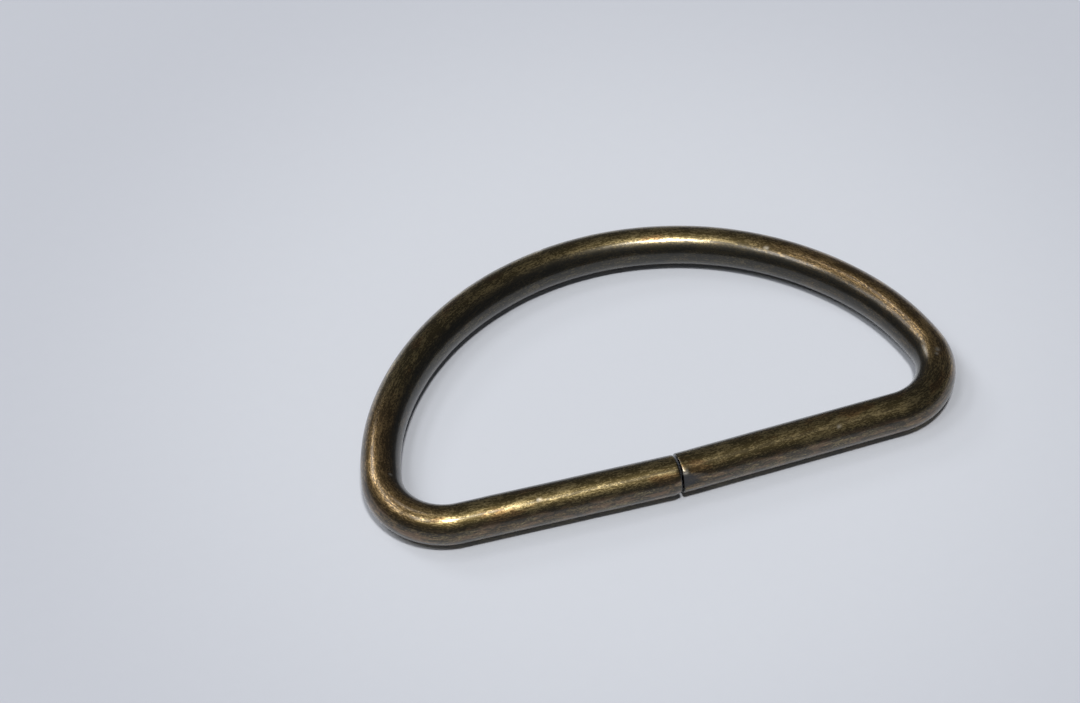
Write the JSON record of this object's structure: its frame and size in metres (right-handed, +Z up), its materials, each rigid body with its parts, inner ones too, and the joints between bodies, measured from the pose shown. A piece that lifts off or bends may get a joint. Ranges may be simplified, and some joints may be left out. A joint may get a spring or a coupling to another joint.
{
  "type": "d ring",
  "caption": "D-shaped ring of bent round wire in an antique brass finish, with an open butt joint in its straight bar.",
  "frame": {"origin": "bottom centre of the ring's box, on the plane that the ring lies on", "axes": "+X along the straight bar, +Y from the bar towards the bow, +Z up out of the ring's plane"},
  "size_m": [0.046, 0.0261, 0.003],
  "materials": {
    "antique_brass": "antiqued: dark olive-brown patina, brushed back to warm brass in fine streaks along the wire, satin"
  },
  "bodies": {
    "root": {"wire_ring": "antique_brass"}
  },
  "joints": []
}
